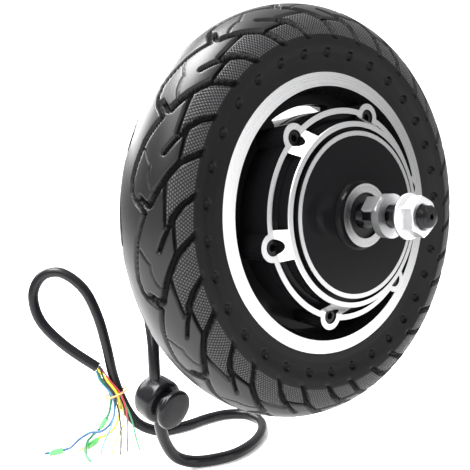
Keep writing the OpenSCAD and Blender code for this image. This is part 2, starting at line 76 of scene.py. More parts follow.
# Each wire: [name, CAD node, diameter, route]
WIRES = [
    ("phase_yellow", "phase_wire_yellow", 2.0, [
        (-97.5, 119.8, -113.2), (-93, 113.6, -121.5), (-87.5, 108.6, -131), (-86.5, 107, -141),
        (-87, 109, -151), (-89, 115, -160), (-91.5, 122, -165.5), (-96, 123, SLEEVE_Z),
        (-103, 118.5, SLEEVE_Z), (-110, 114, SLEEVE_Z), (-113, 112.1, SLEEVE_Z)]),
    ("phase_green", "phase_wire_green", 2.0, [
        (-96.8, 121.7, -114.1), (-96, 117.3, -121.5), (-91.5, 111.3, -131), (-92.5, 109.5, -140),
        (-94.5, 110.5, -147), (-98.5, 113.5, -155), (-104, 116.5, -161), (-109.5, 112, -163),
        (-112.5, 105.5, -166.8), (-113, 98, -167.6), (-112.6, 92, -167.6)]),
    ("phase_blue", "phase_wire_blue", 2.0, [
        (-95.9, 120.9, -112.3), (-93.4, 116.8, -121.5), (-88.9, 111.5, -131),
        (-89.4, 108.9, -141), (-92, 108, -150), (-98, 111, -156.5), (-105.5, 115.5, -157.5),
        (-112.5, 118, -161.5), (-118, 118.8, -165.8), (-123, 119.3, SLEEVE_Z),
        (-130, 120.5, SLEEVE_Z), (-136, 121.6, SLEEVE_Z)]),
    ("hall_red", "hall_wire_red", 1.2, [
        (-94.8, 122.6, -112.7), (-90.8, 115.2, -121.5), (-85, 109, -131), (-82.5, 105, -142),
        (-82, 103, -153), (-83, 101, -163), (-85, 97, -167.6), (-87, 93, -168)]),
    ("hall_black", "hall_wire_black", 1.2, [
        (-96.6, 118.9, -111.2), (-95, 113.4, -121), (-90.2, 108.2, -131), (-88.5, 104, -142),
        (-88, 101.5, -153), (-89, 99, -163), (-91, 95, -167.6), (-93, 91, -168)]),
    ("hall_yellow", "hall_wire_yellow", 1.2, [
        (-98.4, 121.1, -115.4), (-94.4, 118.8, -122), (-87, 112.3, -131.5), (-84, 107, -142),
        (-84.8, 105, -153), (-90, 104, -162), (-95, 100, -167.4), (-97.5, 96, -168)]),
    ("hall_green", "hall_wire_green", 1.2, [
        (-95.4, 123.1, -113.8), (-91.8, 118.2, -122), (-85.3, 111.2, -131), (-80.5, 106.5, -143),
        (-77.8, 104, -153), (-77, 100, -163), (-77.6, 94, -167.6), (-79, 89, -168)]),
    ("hall_blue", "hall_wire_blue", 1.2, [
        (-98.8, 120, -114.9), (-97.6, 115.2, -121.5), (-91.2, 109.8, -131), (-91.2, 105.5, -141),
        (-94, 104.5, -152), (-99.5, 104, -162), (-103, 101, -167.2), (-104.5, 97, -168)]),
]
FLOOR_Z = -168.75
ROUTE_STEPS = 6


def smooth_route(route, steps):
    """The route's points joined by a smooth curve through all of them."""
    p = [np.array(q, float) for q in route]
    out = []
    for i in range(len(p) - 1):
        a, b, c, d = p[max(i - 1, 0)], p[i], p[i + 1], p[min(i + 2, len(p) - 1)]
        for k in range(steps):
            t = k / steps
            out.append(0.5 * (2 * b + (c - a) * t + (2 * a - 5 * b + 4 * c - d) * t * t
                              + (3 * b - a - 3 * c + d) * t ** 3))
    out.append(p[-1])
    return out


def length_m(points):
    """Length of a line of points given in mm."""
    return sum(float(np.linalg.norm(b - a)) for a, b in zip(points, points[1:])) * MM


def curve_tube(name, route, diameter, sides):
    """A round cord along a route, and its length."""
    points = smooth_route(route, ROUTE_STEPS)
    data = bpy.data.curves.new(name, "CURVE")
    data.dimensions = "3D"
    data.bevel_depth = diameter / 2 * MM
    data.bevel_resolution = sides
    data.use_fill_caps = True
    spline = data.splines.new("POLY")
    spline.points.add(len(points) - 1)
    for knot, q in zip(spline.points, points):
        knot.co = (*mm(q), 1)
    spline.use_smooth = True
    obj = bpy.data.objects.new(name, data)
    scene.collection.objects.link(obj)
    return obj, length_m(points)


# ---------------------------------------------------------------- materials

class Look:
    """A material with short calls for its nodes."""

    def __init__(self, name, color, rough, metal=0.0):
        self.mat = bpy.data.materials.new(name)
        self.mat.use_nodes = True
        self.nodes = self.mat.node_tree.nodes
        self.links = self.mat.node_tree.links
        self.shader = self.nodes["Principled BSDF"]
        self.set("Base Color", (*color, 1))
        self.set("Roughness", rough)
        self.set("Metallic", metal)
        self.mat.diffuse_color = (*color, 1)

    def set(self, socket, value):
        target = self.shader.inputs[socket]
        if isinstance(value, bpy.types.NodeSocket):
            self.links.new(value, target)
        else:
            target.default_value = value

    def feed(self, node, index, value):
        if isinstance(value, bpy.types.NodeSocket):
            self.links.new(value, node.inputs[index])
        elif value is not None:
            node.inputs[index].default_value = value

    def math(self, op, a, b=None):
        node = self.nodes.new("ShaderNodeMath")
        node.operation = op
        for i, v in enumerate((a, b)):
            self.feed(node, i, v)
        return node.outputs[0]

    def coords(self, kind="Object"):
        return self.nodes.new("ShaderNodeTexCoord").outputs[kind]

    def xyz(self, vector=None):
        node = self.nodes.new("ShaderNodeSeparateXYZ")
        self.links.new(vector if vector is not None else self.coords(), node.inputs[0])
        return node.outputs

    def vec(self, x, y, z):
        node = self.nodes.new("ShaderNodeCombineXYZ")
        for i, v in enumerate((x, y, z)):
            self.feed(node, i, v)
        return node.outputs[0]

    def noise(self, vector, scale, detail=3.0):
        node = self.nodes.new("ShaderNodeTexNoise")
        self.links.new(vector, node.inputs["Vector"])
        node.inputs["Scale"].default_value = scale
        node.inputs["Detail"].default_value = detail
        return node.outputs["Fac"]

    def spread(self, fac, low, high):
        """A factor from 0 to 1 laid over a range from low to high."""
        node = self.nodes.new("ShaderNodeMapRange")
        self.links.new(fac, node.inputs["Value"])
        node.inputs["To Min"].default_value = low
        node.inputs["To Max"].default_value = high
        return node.outputs[0]

    def mix(self, fac, a, b):
        node = self.nodes.new("ShaderNodeMix")
        node.data_type = "RGBA"
        self.links.new(fac, node.inputs["Factor"])
        for key, v in ((6, a), (7, b)):
            if isinstance(v, bpy.types.NodeSocket):
                self.links.new(v, node.inputs[key])
            else:
                node.inputs[key].default_value = (*v, 1)
        return node.outputs[2]

    def bump(self, height, strength, distance):
        node = self.nodes.new("ShaderNodeBump")
        node.inputs["Strength"].default_value = strength
        node.inputs["Distance"].default_value = distance
        self.links.new(height, node.inputs["Height"])
        self.links.new(node.outputs[0], self.shader.inputs["Normal"])

    def radius_mm(self):
        """Distance from the axle and height from the middle plane, in mm."""
        x, y, z = self.xyz()
        r = self.math("SQRT", self.math("ADD", self.math("MULTIPLY", x, x),
                                        self.math("MULTIPLY", z, z)))
        return (self.math("MULTIPLY", r, 1000.0),
                self.math("MULTIPLY", self.math("ABSOLUTE", y), 1000.0))

    def between(self, v, low, high):
        """1 where v lies between low and high, otherwise 0."""
        return self.math("MULTIPLY", self.math("GREATER_THAN", v, low),
                         self.math("LESS_THAN", v, high))


def grainy(name, color, rough, grain=900.0, depth=0.00004, vary=0.25, metal=0.0, spec=0.5):
    """Moulded plastic or rubber: fine grain, uneven gloss and a slight mottle."""
    look = Look(name, color, rough, metal)
    where = look.coords()
    mottle = look.noise(where, 35.0, 4.0)
    look.set("Base Color", look.mix(mottle, tuple(c * (1 - vary) for c in color),
                                    tuple(min(1, c * (1 + vary)) for c in color)))
    look.set("Roughness", look.spread(look.noise(where, 60.0), rough - 0.06, rough + 0.08))
    look.set("Specular IOR Level", spec)
    look.bump(look.noise(where, grain, 2.0), 0.35, depth)
    return look


def turn_about_axle(look, amount):
    """Stretch the highlights across the tool marks of a lathe turning about the axle."""
    look.set("Anisotropic", amount)
    tangent = look.nodes.new("ShaderNodeTangent")
    tangent.direction_type = "RADIAL"
    tangent.axis = "Y"
    look.links.new(tangent.outputs[0], look.shader.inputs["Tangent"])


def tool_marks(look, r, h, per_mm):
    """Fine rings about the axle, as a lathe leaves them."""
    return look.noise(look.vec(look.math("MULTIPLY", r, per_mm),
                               look.math("MULTIPLY", h, per_mm), 0.0), 1.0)


def turned(name, color, rough):
    """Metal turned on a lathe about the axle: concentric tool marks."""
    look = Look(name, color, rough, 1.0)
    r, h = look.radius_mm()
    marks = tool_marks(look, r, h, 3.0)
    look.set("Roughness", look.spread(marks, rough - 0.08, rough + 0.14))
    look.bump(marks, 0.25, 0.00003)
    turn_about_axle(look, 0.6)
    return look


PAINT = (0.0045, 0.0045, 0.005)
CUT_METAL = (0.40, 0.40, 0.405)


def painted_with_cuts(name, faces):
    """Gloss black paint, turned back to bright metal where faces(look, r, h) is 1."""
    look = Look(name, PAINT, 0.12)
    r, h = look.radius_mm()
    bare = faces(look, r, h)
    marks = tool_marks(look, r, h, 2.4)
    where = look.coords()
    shade = look.mix(marks, tuple(c * 0.86 for c in CUT_METAL), CUT_METAL)
    look.set("Base Color", look.mix(bare, PAINT, shade))
    look.set("Specular IOR Level", 0.05)
    look.set("Metallic", bare)
    paint_rough = look.spread(look.noise(where, 45.0), 0.09, 0.17)
    metal_rough = look.spread(marks, 0.20, 0.36)
    node = look.nodes.new("ShaderNodeMix")
    node.data_type = "FLOAT"
    look.links.new(bare, node.inputs[0])
    look.links.new(paint_rough, node.inputs[2])
    look.links.new(metal_rough, node.inputs[3])
    look.set("Roughness", node.outputs[0])
    turn_about_axle(look, 0.7)
    peel = look.math("MULTIPLY", look.noise(where, 260.0, 2.0), look.math("SUBTRACT", 1.0, bare))
    look.bump(look.math("ADD", look.math("MULTIPLY", peel, 0.5),
                        look.math("MULTIPLY", marks, bare)), 0.22, 0.00003)
    return look


def zone(look, r, h, low, high, above):
    """1 where the radius lies between low and high and the height is over above."""
    return look.math("MULTIPLY", look.between(r, low, high), look.math("GREATER_THAN", h, above))


def rim_faces(look, r, h):
    """The ring turned on the rim's flange."""
    return zone(look, r, h, 75.9, 83.95, 22.6)


def cover_faces(look, r, h):
    """Rim ring and ears, bridges on the cone, band, thin ring and the boss's end."""
    cone_h = look.math("SUBTRACT", 38.75, look.math("MULTIPLY", look.math("SUBTRACT", r, 53.3), 1.44))
    total = zone(look, r, h, 58.2, 99.0, 31.65)
    for low, high, above in ((53.2, 58.3, cone_h), (50.45, 53.4, 38.8), (45.35, 48.05, 40.15),
                             (13.05, 18.15, 44.2)):
        total = look.math("MAXIMUM", total, zone(look, r, h, low, high, above))
    return total


KNURL_PITCH = 2.2


def rubber_of_tyre(name, gloss, knurled=False):
    """Tyre rubber; the knurled patches carry a fine grid of bumped points along the tread, painted
    paler as highlights.
    """
    look = Look(name, (0.007, 0.007, 0.0075), 0.5)
    where = look.coords()
    grain = look.noise(where, 700.0, 2.0)
    haze = look.noise(where, 28.0, 4.0)
    look.set("Specular IOR Level", gloss)
    if knurled:
        along, across, _ = look.xyz(look.coords("UV"))
        turns = 2 * math.pi / KNURL_PITCH
        dots = look.math("MULTIPLY", look.math("SINE", look.math("MULTIPLY", along, turns)),
                         look.math("SINE", look.math("MULTIPLY", across, turns)))
        # The pale colour on the knurl points is a painted highlight; their real relief comes from the
        # bump below.
        painted_knurl_highlight = look.between(dots, 0.30, 2.0)
        look.set("Roughness", look.spread(haze, 0.40, 0.52))
        look.set("Base Color", look.mix(painted_knurl_highlight, (0.005, 0.005, 0.0055), (0.055, 0.055, 0.057)))
        look.bump(look.math("ADD", dots, look.math("MULTIPLY", grain, 0.2)), 0.9, 0.0003)
    else:
        look.set("Roughness", look.spread(haze, 0.33, 0.46))
        look.set("Base Color", look.mix(haze, (0.0025, 0.0025, 0.0028), (0.0055, 0.0055, 0.006)))
        look.bump(grain, 0.25, 0.00006)
    return look


def black_oxide():
    """Chemically blackened steel, a little uneven in its gloss."""
    look = Look("black_oxide", (0.014, 0.014, 0.015), 0.24, 0.85)
    where = look.coords()
    look.set("Roughness", look.spread(look.noise(where, 180.0), 0.16, 0.30))
    look.bump(look.noise(where, 900.0), 0.3, 0.00003)
    return look


LOOKS = {
    "tread": rubber_of_tyre("tyre_rubber", 0.27),
    "wall": rubber_of_tyre("tyre_sidewall", 0.09),
    "knurl": rubber_of_tyre("tyre_knurl", 0.18, knurled=True),
    # Groove rubber is darker and far less glossy than the tread: painted shade in the recesses.
    "groove": grainy("tyre_groove_painted_shade", (0.003, 0.003, 0.0032), 0.6, 700.0, 0.00006, 0.2, spec=0.06),
    "rim": painted_with_cuts("rim_paint", rim_faces),
    "cover": painted_with_cuts("cover_paint", cover_faces),
    "oxide": black_oxide(),
    "zinc": turned("zinc_plate", (0.64, 0.64, 0.65), 0.34),
    "ground": turned("ground_steel", (0.68, 0.69, 0.70), 0.22),
    "alloy": turned("bare_alloy", (0.74, 0.74, 0.75), 0.30),
    "stack": turned("laminations", (0.32, 0.32, 0.34), 0.45),
    "nickel": turned("nickel_magnets", (0.6, 0.6, 0.62), 0.25),
    "brass": turned("cage_brass", (0.62, 0.50, 0.26), 0.30),
    "copper": grainy("enamelled_copper", (0.55, 0.22, 0.08), 0.3, 1400.0, 0.0001, 0.2, 0.8),
    "board": grainy("board_green", (0.02, 0.16, 0.07), 0.4),
    "plastic": grainy("black_plastic", (0.008, 0.008, 0.009), 0.38, spec=0.2),
    "rubber": grainy("black_rubber", (0.006, 0.006, 0.007), 0.42, spec=0.2),
    "bung": grainy("gloss_bung", (0.005, 0.005, 0.006), 0.20, 500.0, 0.00002, 0.15, spec=0.16),
    "sheath": grainy("cable_sheath", (0.005, 0.005, 0.006), 0.24, 800.0, 0.00003, 0.2, spec=0.18),
    "tie": grainy("tie_orange", (0.468, 0.231, 0.077), 0.4),
    "phase_yellow": grainy("wire_yellow", (0.473, 0.407, 0.028), 0.35),
    "phase_green": grainy("wire_green", (0.011, 0.121, 0.055), 0.35),
    "phase_blue": grainy("wire_blue", (0.022, 0.077, 0.165), 0.35),
    "hall_red": grainy("wire_red", (0.396, 0.028, 0.05), 0.35),
    "hall_black": grainy("wire_black", (0.007, 0.007, 0.007), 0.35),
    "hall_yellow": grainy("wire_pale_yellow", (0.484, 0.44, 0.11), 0.35),
    "hall_green": grainy("wire_mid_green", (0.033, 0.231, 0.088), 0.35),
    "hall_blue": grainy("wire_mid_blue", (0.066, 0.193, 0.341), 0.35),
    "sleeve": grainy("sleeve_green", (0.088, 0.473, 0.11), 0.22, 900.0, 0.00003, 0.1),
    "tin": turned("tinned_brass", (0.84, 0.80, 0.68), 0.26),
}

CAD_LOOKS = {
    "stator_key": "ground", "stator_support": "alloy", "stator_core": "stack",
    "windings": "copper", "hall_board": "board", "hall_sensors": "plastic",
    "inner_leads": "sheath", "front_bearing_inner": "ground", "rear_bearing_inner": "ground",
    "front_bearing_balls": "ground", "rear_bearing_balls": "ground",
    "front_bearing_cage": "brass", "rear_bearing_cage": "brass",
    "front_bearing_outer": "ground", "rear_bearing_outer": "ground",
    "front_seal": "rubber", "rear_seal": "rubber", "front_cover": "cover",
    "rear_cover": "cover", "front_cover_screws": "oxide", "rear_cover_screws": "oxide",
    "rim_shell": "rim", "flux_ring": "stack", "magnets": "nickel", "valve_stem": "rubber",
    "valve_cap": "plastic", "front_tab_washer": "zinc", "rear_tab_washer": "zinc",
    "front_flat_washer": "zinc", "rear_flat_washer": "zinc",
    "cable_strain_relief": "rubber", "wire_tie": "tie", "terminal_sleeves": "sleeve",
    "phase_terminals": "tin", "hall_terminals": "tin",
}


def cad(node):
    """The object of a CAD node."""
    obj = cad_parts[node]
    return bpy.data.objects[obj] if isinstance(obj, str) else obj


for node, key in CAD_LOOKS.items():
    slots = cad(node).data.materials
    slots.clear()
    slots.append(LOOKS[key].mat)


# ---------------------------------------------------------------- cable and wires

cable, cable_len = curve_tube("cable_sheath", CABLE_ROUTE, CABLE_D, 10)
cable.data.materials.append(LOOKS["sheath"].mat)
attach(cable, "axle")
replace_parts(cable, "motor_cable")
wires = []
for name, node, diameter, route in WIRES:
    wire, wire_len = curve_tube(name, route, diameter, 5)
    wire.data.materials.append(LOOKS[name].mat)
    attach(wire, "axle")
    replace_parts(wire, node)
    wires.append((wire, wire_len))


# ---------------------------------------------------------------- mesh helpers

def grid_object(name, points, look, wrap_rows=False):
    """A surface through points[row][column]; columns run round and join up."""
    rows, cols = points.shape[:2]
    index = np.arange(rows * cols).reshape(rows, cols)
    down = np.roll(index, -1, 0) if wrap_rows else index[1:]
    up = index if wrap_rows else index[:-1]
    right = np.roll(up, -1, 1)
    right_down = np.roll(down, -1, 1)
    quads = np.stack([up, right, right_down, down], -1).reshape(-1, 4)
    data = bpy.data.meshes.new(name)
    data.vertices.add(rows * cols)
    data.vertices.foreach_set("co", (points * MM).reshape(-1).astype(np.float32))
    data.loops.add(quads.size)
    data.loops.foreach_set("vertex_index", quads.reshape(-1).astype(np.int32))
    data.polygons.add(len(quads))
    data.polygons.foreach_set("loop_start", np.arange(0, quads.size, 4, dtype=np.int32))
    data.polygons.foreach_set("loop_total", np.full(len(quads), 4, np.int32))
    data.update(calc_edges=True)
    data.polygons.foreach_set("use_smooth", [True] * len(quads))
    obj = bpy.data.objects.new(name, data)
    scene.collection.objects.link(obj)
    data.materials.append(LOOKS[look].mat)
    return obj, quads


def sharp_edges(obj, degrees):
    """Keeps edges crisp where the surface turns by more than this."""
    obj.data.set_sharp_from_angle(angle=math.radians(degrees))


def place(theta, r, h, side):
    """Points in the wheel's frame; h counts from the middle plane to the front or the rear."""
    y = -h if side == "front" else h
    return np.stack(np.broadcast_arrays(r * np.cos(theta), y, r * np.sin(theta)), -1)


def fix_normals(obj):
    """Joins doubled points and turns every face outwards."""
    bm = bmesh.new()
    bm.from_mesh(obj.data)
    bmesh.ops.remove_doubles(bm, verts=bm.verts, dist=1e-7)
    bmesh.ops.recalc_face_normals(bm, faces=bm.faces)
    bm.to_mesh(obj.data)
    bm.free()
    obj.data.polygons.foreach_set("use_smooth", [True] * len(obj.data.polygons))


def turned_along(name, outline, start, direction, look, cols=28, sharp=35):
    """Turns an outline of [radius, distance] in mm about a line that starts at a point."""
    theta = np.linspace(0, 2 * np.pi, cols, endpoint=False)
    pts = np.array([np.stack([r * np.cos(theta), r * np.sin(theta), np.full(cols, z)], -1)
                    for r, z in outline])
    obj, _ = grid_object(name, pts, look)
    turn = Vector(direction).to_track_quat("Z", "Y").to_matrix().to_4x4()
    turn.translation = Vector(mm(start))
    obj.data.transform(turn)
    fix_normals(obj)
    sharp_edges(obj, sharp)
    return obj


# ---------------------------------------------------------------- tyre

# Profile in mm: outer radius, half width, and radius of the crown arc's centre
TYRE_R, TYRE_HALF_W, CROWN_R = 127.0, 27.4, 103.0
RIM_R, SEAT_R = 83.9, 77.05
# The tread repeats round the tyre; columns and angles of one repeat
PITCHES = 16
COLS_PER_PITCH = 68
PITCH_DEG = 360 / PITCHES
TREAD_PHASE = 4.76
MM_PER_DEG = TYRE_R * math.pi / 180
# Distances from the centre line, in mm along the profile
TREAD_END = 41.3
WALL_FROM = 38.5
KNURL_WIDE_FROM, KNURL_NARROW_FROM, KNURL_TO = 26.3, 30.6, 40.3
DIMPLE_AT = 49.4
# Dimples of a sidewall: count, radius, depth, radius of their row, angle of the first
DIMPLES, DIMPLE_R, DIMPLE_DEPTH, DIMPLE_ROW_R, DIMPLE_PHASE = 32, 2.9, 2.2, 94.35, 7.45
# Grooves of one pitch on the front half: (half width, depth, [(degrees along, mm from centre)])
GROOVES = [
    (1.75, 3.0, [(-0.9, 42.4), (0, 40.6), (2.1, 35.7), (4.3, 30.3)]),
    (1.50, 3.0, [(4.3, 30.3), (7.4, 26.3), (10.0, 23.1), (13.6, 19.3), (14.9, 18.2), (15.2, 17.0),
                 (14.6, 14.9), (13.4, 11.8)]),
    (1.00, 3.2, [(16.9, 15.6), (19.9, 12.6), (22.9, 10.0), (26.1, 8.3), (29.4, 6.7),
                 (31.9, 5.9), (34.8, 6.8), (36.8, 9.4), (38.2, 13.0), (39.4, 15.6)]),
    (1.60, 3.0, [(11.0, 42.4), (11.9, 40.6), (14.6, 34.3), (17.7, 29.6), (19.7, 28.1)]),
    (0.95, 2.6, [(19.7, 28.1), (22.3, 25.0), (25.5, 21.7)]),
    (0.75, 2.2, [(19.0, 29.9), (27.1, 29.9)]),
    (0.75, 2.2, [(9.2, 24.9), (20.0, 25.4)]),
    (0.35, 1.0, [(2.6, 11.3), (4.5, 13.7), (5.9, 16.0), (7.4, 15.7), (10.0, 16.9), (11.9, 19.1)]),
]


def line_distance(px, py, line):
    """Distance from every point to a polyline."""
    best = np.full(px.shape, 1e9)
    for (x0, y0), (x1, y1) in zip(line, line[1:]):
        dx, dy = x1 - x0, y1 - y0
        t = np.clip(((px - x0) * dx + (py - y0) * dy) / (dx * dx + dy * dy), 0, 1)
        best = np.minimum(best, np.hypot(px - x0 - t * dx, py - y0 - t * dy))
    return best


def groove_depth(u_deg, v):
    """Depth of the tread at u degrees along a pitch and v mm from the centre line."""
    depth = np.zeros(u_deg.shape)
    for half, deep, line in GROOVES:
        for shift in (-2, -1, 0, 1, 2):
            moved = [((a + shift * PITCH_DEG) * MM_PER_DEG, b) for a, b in line]
            d = line_distance(u_deg * MM_PER_DEG, v, moved)
            t = np.clip((half + 0.35 - d) / 0.7, 0, 1)
            depth = np.maximum(depth, deep * t * t * (3 - 2 * t))
    return depth * np.clip((TREAD_END + 0.8 - v) / 1.6, 0, 1)


def groove_u(v, groove_lines):
    """Degrees along the pitch at which a lateral groove crosses a height v."""
    points = sorted((b, a) for line in groove_lines for a, b in line)
    return np.interp(v, [p[0] for p in points], [p[1] for p in points])


def knurl_mask(u_deg, v):
    """True on the shoulder patches, which start further in on one side of the main groove."""
    main = groove_u(v, (GROOVES[0][2], GROOVES[1][2]))
    side = groove_u(v, (GROOVES[3][2],))
    u = np.mod(u_deg - main, PITCH_DEG)
    gap = np.mod(side - main, PITCH_DEG)
    wide = (u < gap) & (v > KNURL_WIDE_FROM)
    narrow = (u >= gap) & (v > KNURL_NARROW_FROM)
    return (wide | narrow) & (v < KNURL_TO)


def dimple_depth(theta_deg, v):
    """Depth of the sidewall's dimples at an angle round the wheel."""
    step = 360 / DIMPLES
    off = np.mod(theta_deg - DIMPLE_PHASE + step / 2, step) - step / 2
    d = np.hypot(np.radians(off)[None] * DIMPLE_ROW_R, v - DIMPLE_AT) / DIMPLE_R
    return DIMPLE_DEPTH * np.clip(1 - d ** 4, 0, 1) * (d < 1)


def tyre_outline():
    """Half profile from the crown to the bead: distance along it, and [radius, h]."""
    arc = [(CROWN_R + 24 * math.cos(a), TYRE_HALF_W * math.sin(a))
           for a in np.linspace(0, math.pi / 2, 400)]
    arc += [(98.5, 26.4), (94.35, 24.9), (89, 23.6), (RIM_R, 22.95)]
    arc = np.array(arc)
    s = np.concatenate([[0], np.cumsum(np.hypot(*np.diff(arc, axis=0).T))])
    return s, arc


def half_tyre(sign, rows_s, theta_deg):
    """One half's outer points, and which are knurled or in a groove; sign is 1 at the front."""
    s, arc = tyre_outline()
    shift = TREAD_PHASE if sign == 1 else TREAD_PHASE + PITCH_DEG / 2
    v, u = np.meshgrid(rows_s, np.mod(theta_deg - shift, PITCH_DEG), indexing="ij")
    groove = groove_depth(u, v)
    sink = groove + dimple_depth(theta_deg, v)
    r = np.interp(rows_s, s, arc[:, 0])
    h = np.interp(rows_s, s, arc[:, 1])
    tr, th = np.gradient(r, rows_s), np.gradient(h, rows_s)
    norm = np.hypot(tr, th)
    rr = r[:, None] - sink * (th / norm)[:, None]
    hh = (h[:, None] + sink * (tr / norm)[:, None]) * sign
    points = place(np.radians(theta_deg)[None], rr, hh, "front")
    return points, knurl_mask(u, v) & (groove < 0.4), groove > 0.7


def both_halves(front, rear, total, empty):
    """Lays the values of the front's rows and of the rear's rows where those rows are."""
    out = np.full((total,) + front.shape[1:], empty, front.dtype)
    out[:len(front)] = front
    out[total - len(rear) + 1:] = rear[:0:-1]
    return out


def cells(points):
    """True for the cells whose own point and next points along and across are all True."""
    return points & np.roll(points, -1, 1) & np.roll(points, -1, 0)


def tread_uv(obj, quads, theta_deg, across):
    """UV in mm: along the tread, and across it from the centre line."""
    along = np.repeat((theta_deg * MM_PER_DEG)[None], len(across), 0)
    both = np.stack([along, np.repeat(across[:, None], len(theta_deg), 1)], -1).reshape(-1, 2)
    coords = both[quads.reshape(-1)].reshape(-1, 4, 2)
    around = 360 * MM_PER_DEG
    wrap = coords[:, :, 0].max(1) - coords[:, :, 0].min(1) > around / 2
    coords[wrap, :, 0] += np.where(coords[wrap, :, 0] < around / 2, around, 0)
    layer = obj.data.uv_layers.new(name="tread")
    layer.data.foreach_set("uv", coords.reshape(-1).astype(np.float32))


def make_tyre():
    """The tyre as one closed surface: outside with its tread, bead and inner wall."""
    s, _ = tyre_outline()
    rows_s = np.concatenate([np.arange(0, 42.0, 0.62), np.arange(42.0, 46.6, 0.9),
                             np.arange(46.6, 52.4, 0.48), np.arange(52.6, s[-1], 1.0), [s[-1]]])
    inner = [(RIM_R, 18.8), (SEAT_R, 18.8), (SEAT_R, 9), (81, 11), (86, 16)]
    inner += [(CROWN_R + 14 * math.cos(a), 21.4 * math.sin(a))
              for a in np.linspace(math.pi / 2, 0, 9)]
    theta_deg = np.arange(PITCHES * COLS_PER_PITCH) * 360 / (PITCHES * COLS_PER_PITCH)
    theta = np.radians(theta_deg)
    (front, front_knurl, front_sunk), (rear, rear_knurl, rear_sunk) = (
        half_tyre(sign, rows_s, theta_deg) for sign in (1, -1))
    front_tail, rear_tail = (
        np.array([place(theta, r, h * sign, "front") for r, h in inner[:-1]]) for sign in (1, -1))
    middle = place(theta, inner[-1][0], 0.0, "front")[None]
    points = np.concatenate([front, front_tail, middle, rear_tail[::-1], rear[:0:-1]])
    obj, quads = grid_object("tyre_tread", points, "tread", wrap_rows=True)
    for key in ("knurl", "groove", "wall"):
        obj.data.materials.append(LOOKS[key].mat)
    total = len(points)
    from_centre = both_halves(rows_s, rows_s, total, 99.0)
    index = np.where(from_centre[:, None] > WALL_FROM, 3, 0)
    index = np.where(cells(both_halves(front_knurl, rear_knurl, total, False)), 1, index)
    # Cells deep in a groove take the groove rubber, whose darker, duller finish is painted shade.
    index = np.where(cells(both_halves(front_sunk, rear_sunk, total, False)), 2, index)
    obj.data.polygons.foreach_set("material_index", index.reshape(-1).astype(np.int32))
    tread_uv(obj, quads, theta_deg, both_halves(rows_s, -rows_s, total, 0.0))
    return obj


tyre = make_tyre()
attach(tyre, "wheel")
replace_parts(tyre, "tyre")


# ---------------------------------------------------------------- axle and nuts

THREAD_PITCH = 1.25
THREAD_R = 6.0
END = 86.5


# Holes in the axle's ends, [radius, depth]: lathe centre at the front, cable bore at the rear
CENTRE_HOLE = (1.4, 3.0)
CABLE_BORE = (3.85, 8.0)
HOLE_FLOOR_R = 0.02


def axle_piece():
    """The axle: shoulders, threaded ends with flats, and a hole in each end."""
    rows = [0.0]
    # How far each stretch reaches from the middle, and the step between its rings
    for stop, step in [(26.9, 4.0), (27.1, 0.2), (45.8, 4.0), (46.2, 0.2), (85.6, 0.21), (END, 0.3)]:
        while rows[-1] < stop - 1e-6:
            rows.append(min(rows[-1] + step, stop))
    rows = np.array(sorted(set(np.round(rows, 3))))
    heights = np.concatenate([-rows[:0:-1], rows])
    cols = 72
    theta = np.linspace(0, 2 * np.pi, cols, endpoint=False)
    h, t = np.meshgrid(heights, theta, indexing="ij")
    a = np.abs(h)
    phase = np.mod(h / THREAD_PITCH - t / (2 * np.pi), 1.0)
    thread = THREAD_R - 0.62 * (1 - np.abs(2 * phase - 1)) ** 1.2
    tip = np.clip((a - 85.5) / 1.0, 0, 1)
    r = np.where(a <= 27, 10.0, np.where(a <= 46, 7.5, thread - tip * 0.9))
    x, z = r * np.cos(t), r * np.sin(t)
    flat = (a > 44) & (a < 74)
    x = np.where(flat, np.clip(x, -5, 5), x)
    points = np.stack([x, -h, z], -1)

    def ring(radius, y):
        return np.stack([radius * np.cos(theta), np.full(cols, y), radius * np.sin(theta)], -1)

    (front_r, front_deep), (rear_r, rear_deep) = CENTRE_HOLE, CABLE_BORE
    rear = [ring(HOLE_FLOOR_R, END - rear_deep), ring(rear_r, END - rear_deep), ring(rear_r, END)]
    front = [ring(front_r, -END), ring(front_r, front_deep - END),
             ring(HOLE_FLOOR_R, front_deep - END)]
    obj, _ = grid_object("axle_shaft", np.array(rear + list(points) + front), "oxide")
    fix_normals(obj)
    sharp_edges(obj, 38)
    return obj


axle = axle_piece()
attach(axle, "axle")
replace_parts(axle, "axle")

NUT_AT, NUT_H, NUT_FLANGE, NUT_AF = 72.1, 10.0, 12.3, 19.0
NUT_TOP = NUT_AT + NUT_H
NUT_TURN = math.radians(38)


def hexagon(h, theta):
    """Radius of the nut's hexagon at a height, with its outer end chamfered."""
    turn = np.mod(theta - NUT_TURN, math.pi / 3) - math.pi / 6
    return np.minimum(NUT_AF / 2 / np.cos(turn), NUT_AF / 2 - 0.1 + (NUT_TOP - h) * 1.9)


def nut(name, side):
    """Hexagon nut with a round flange."""
    theta = np.linspace(0, 2 * np.pi, 180, endpoint=False)
    flange = [(6.6, NUT_AT), (11.6, NUT_AT), (12.15, NUT_AT + 0.15), (NUT_FLANGE, NUT_AT + 0.6),
              (NUT_FLANGE, NUT_AT + 1.3), (12.1, NUT_AT + 1.8), (11.7, NUT_AT + 2.1),
              (11.35, NUT_AT + 2.35)]
    walls = [NUT_TOP - d for d in (7.6, 6, 4, 2, 1.0, 0.8, 0.6, 0.4, 0.2, 0.0)]
    bore = [(7.3, NUT_TOP), (6.05, NUT_TOP - 0.9), (6.05, NUT_AT + 0.6)]
    rows = flange + [(hexagon(h, theta), h) for h in walls] + bore
    points = np.array([place(theta, r, h, side) for r, h in rows])
    obj, _ = grid_object(name, points, "zinc", wrap_rows=True)
    fix_normals(obj)
    sharp_edges(obj, 25)
    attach(obj, "axle")
    return obj


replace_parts(nut("nut_front", "front"), "front_flange_nut")
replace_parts(nut("nut_rear", "rear"), "rear_flange_nut")


# ---------------------------------------------------------------- panel grommet

BUNG_AT = (-88.2, 44.3, -113.5)
BUNG_AXIS = Vector((0.234, -0.962, -0.215)).normalized()


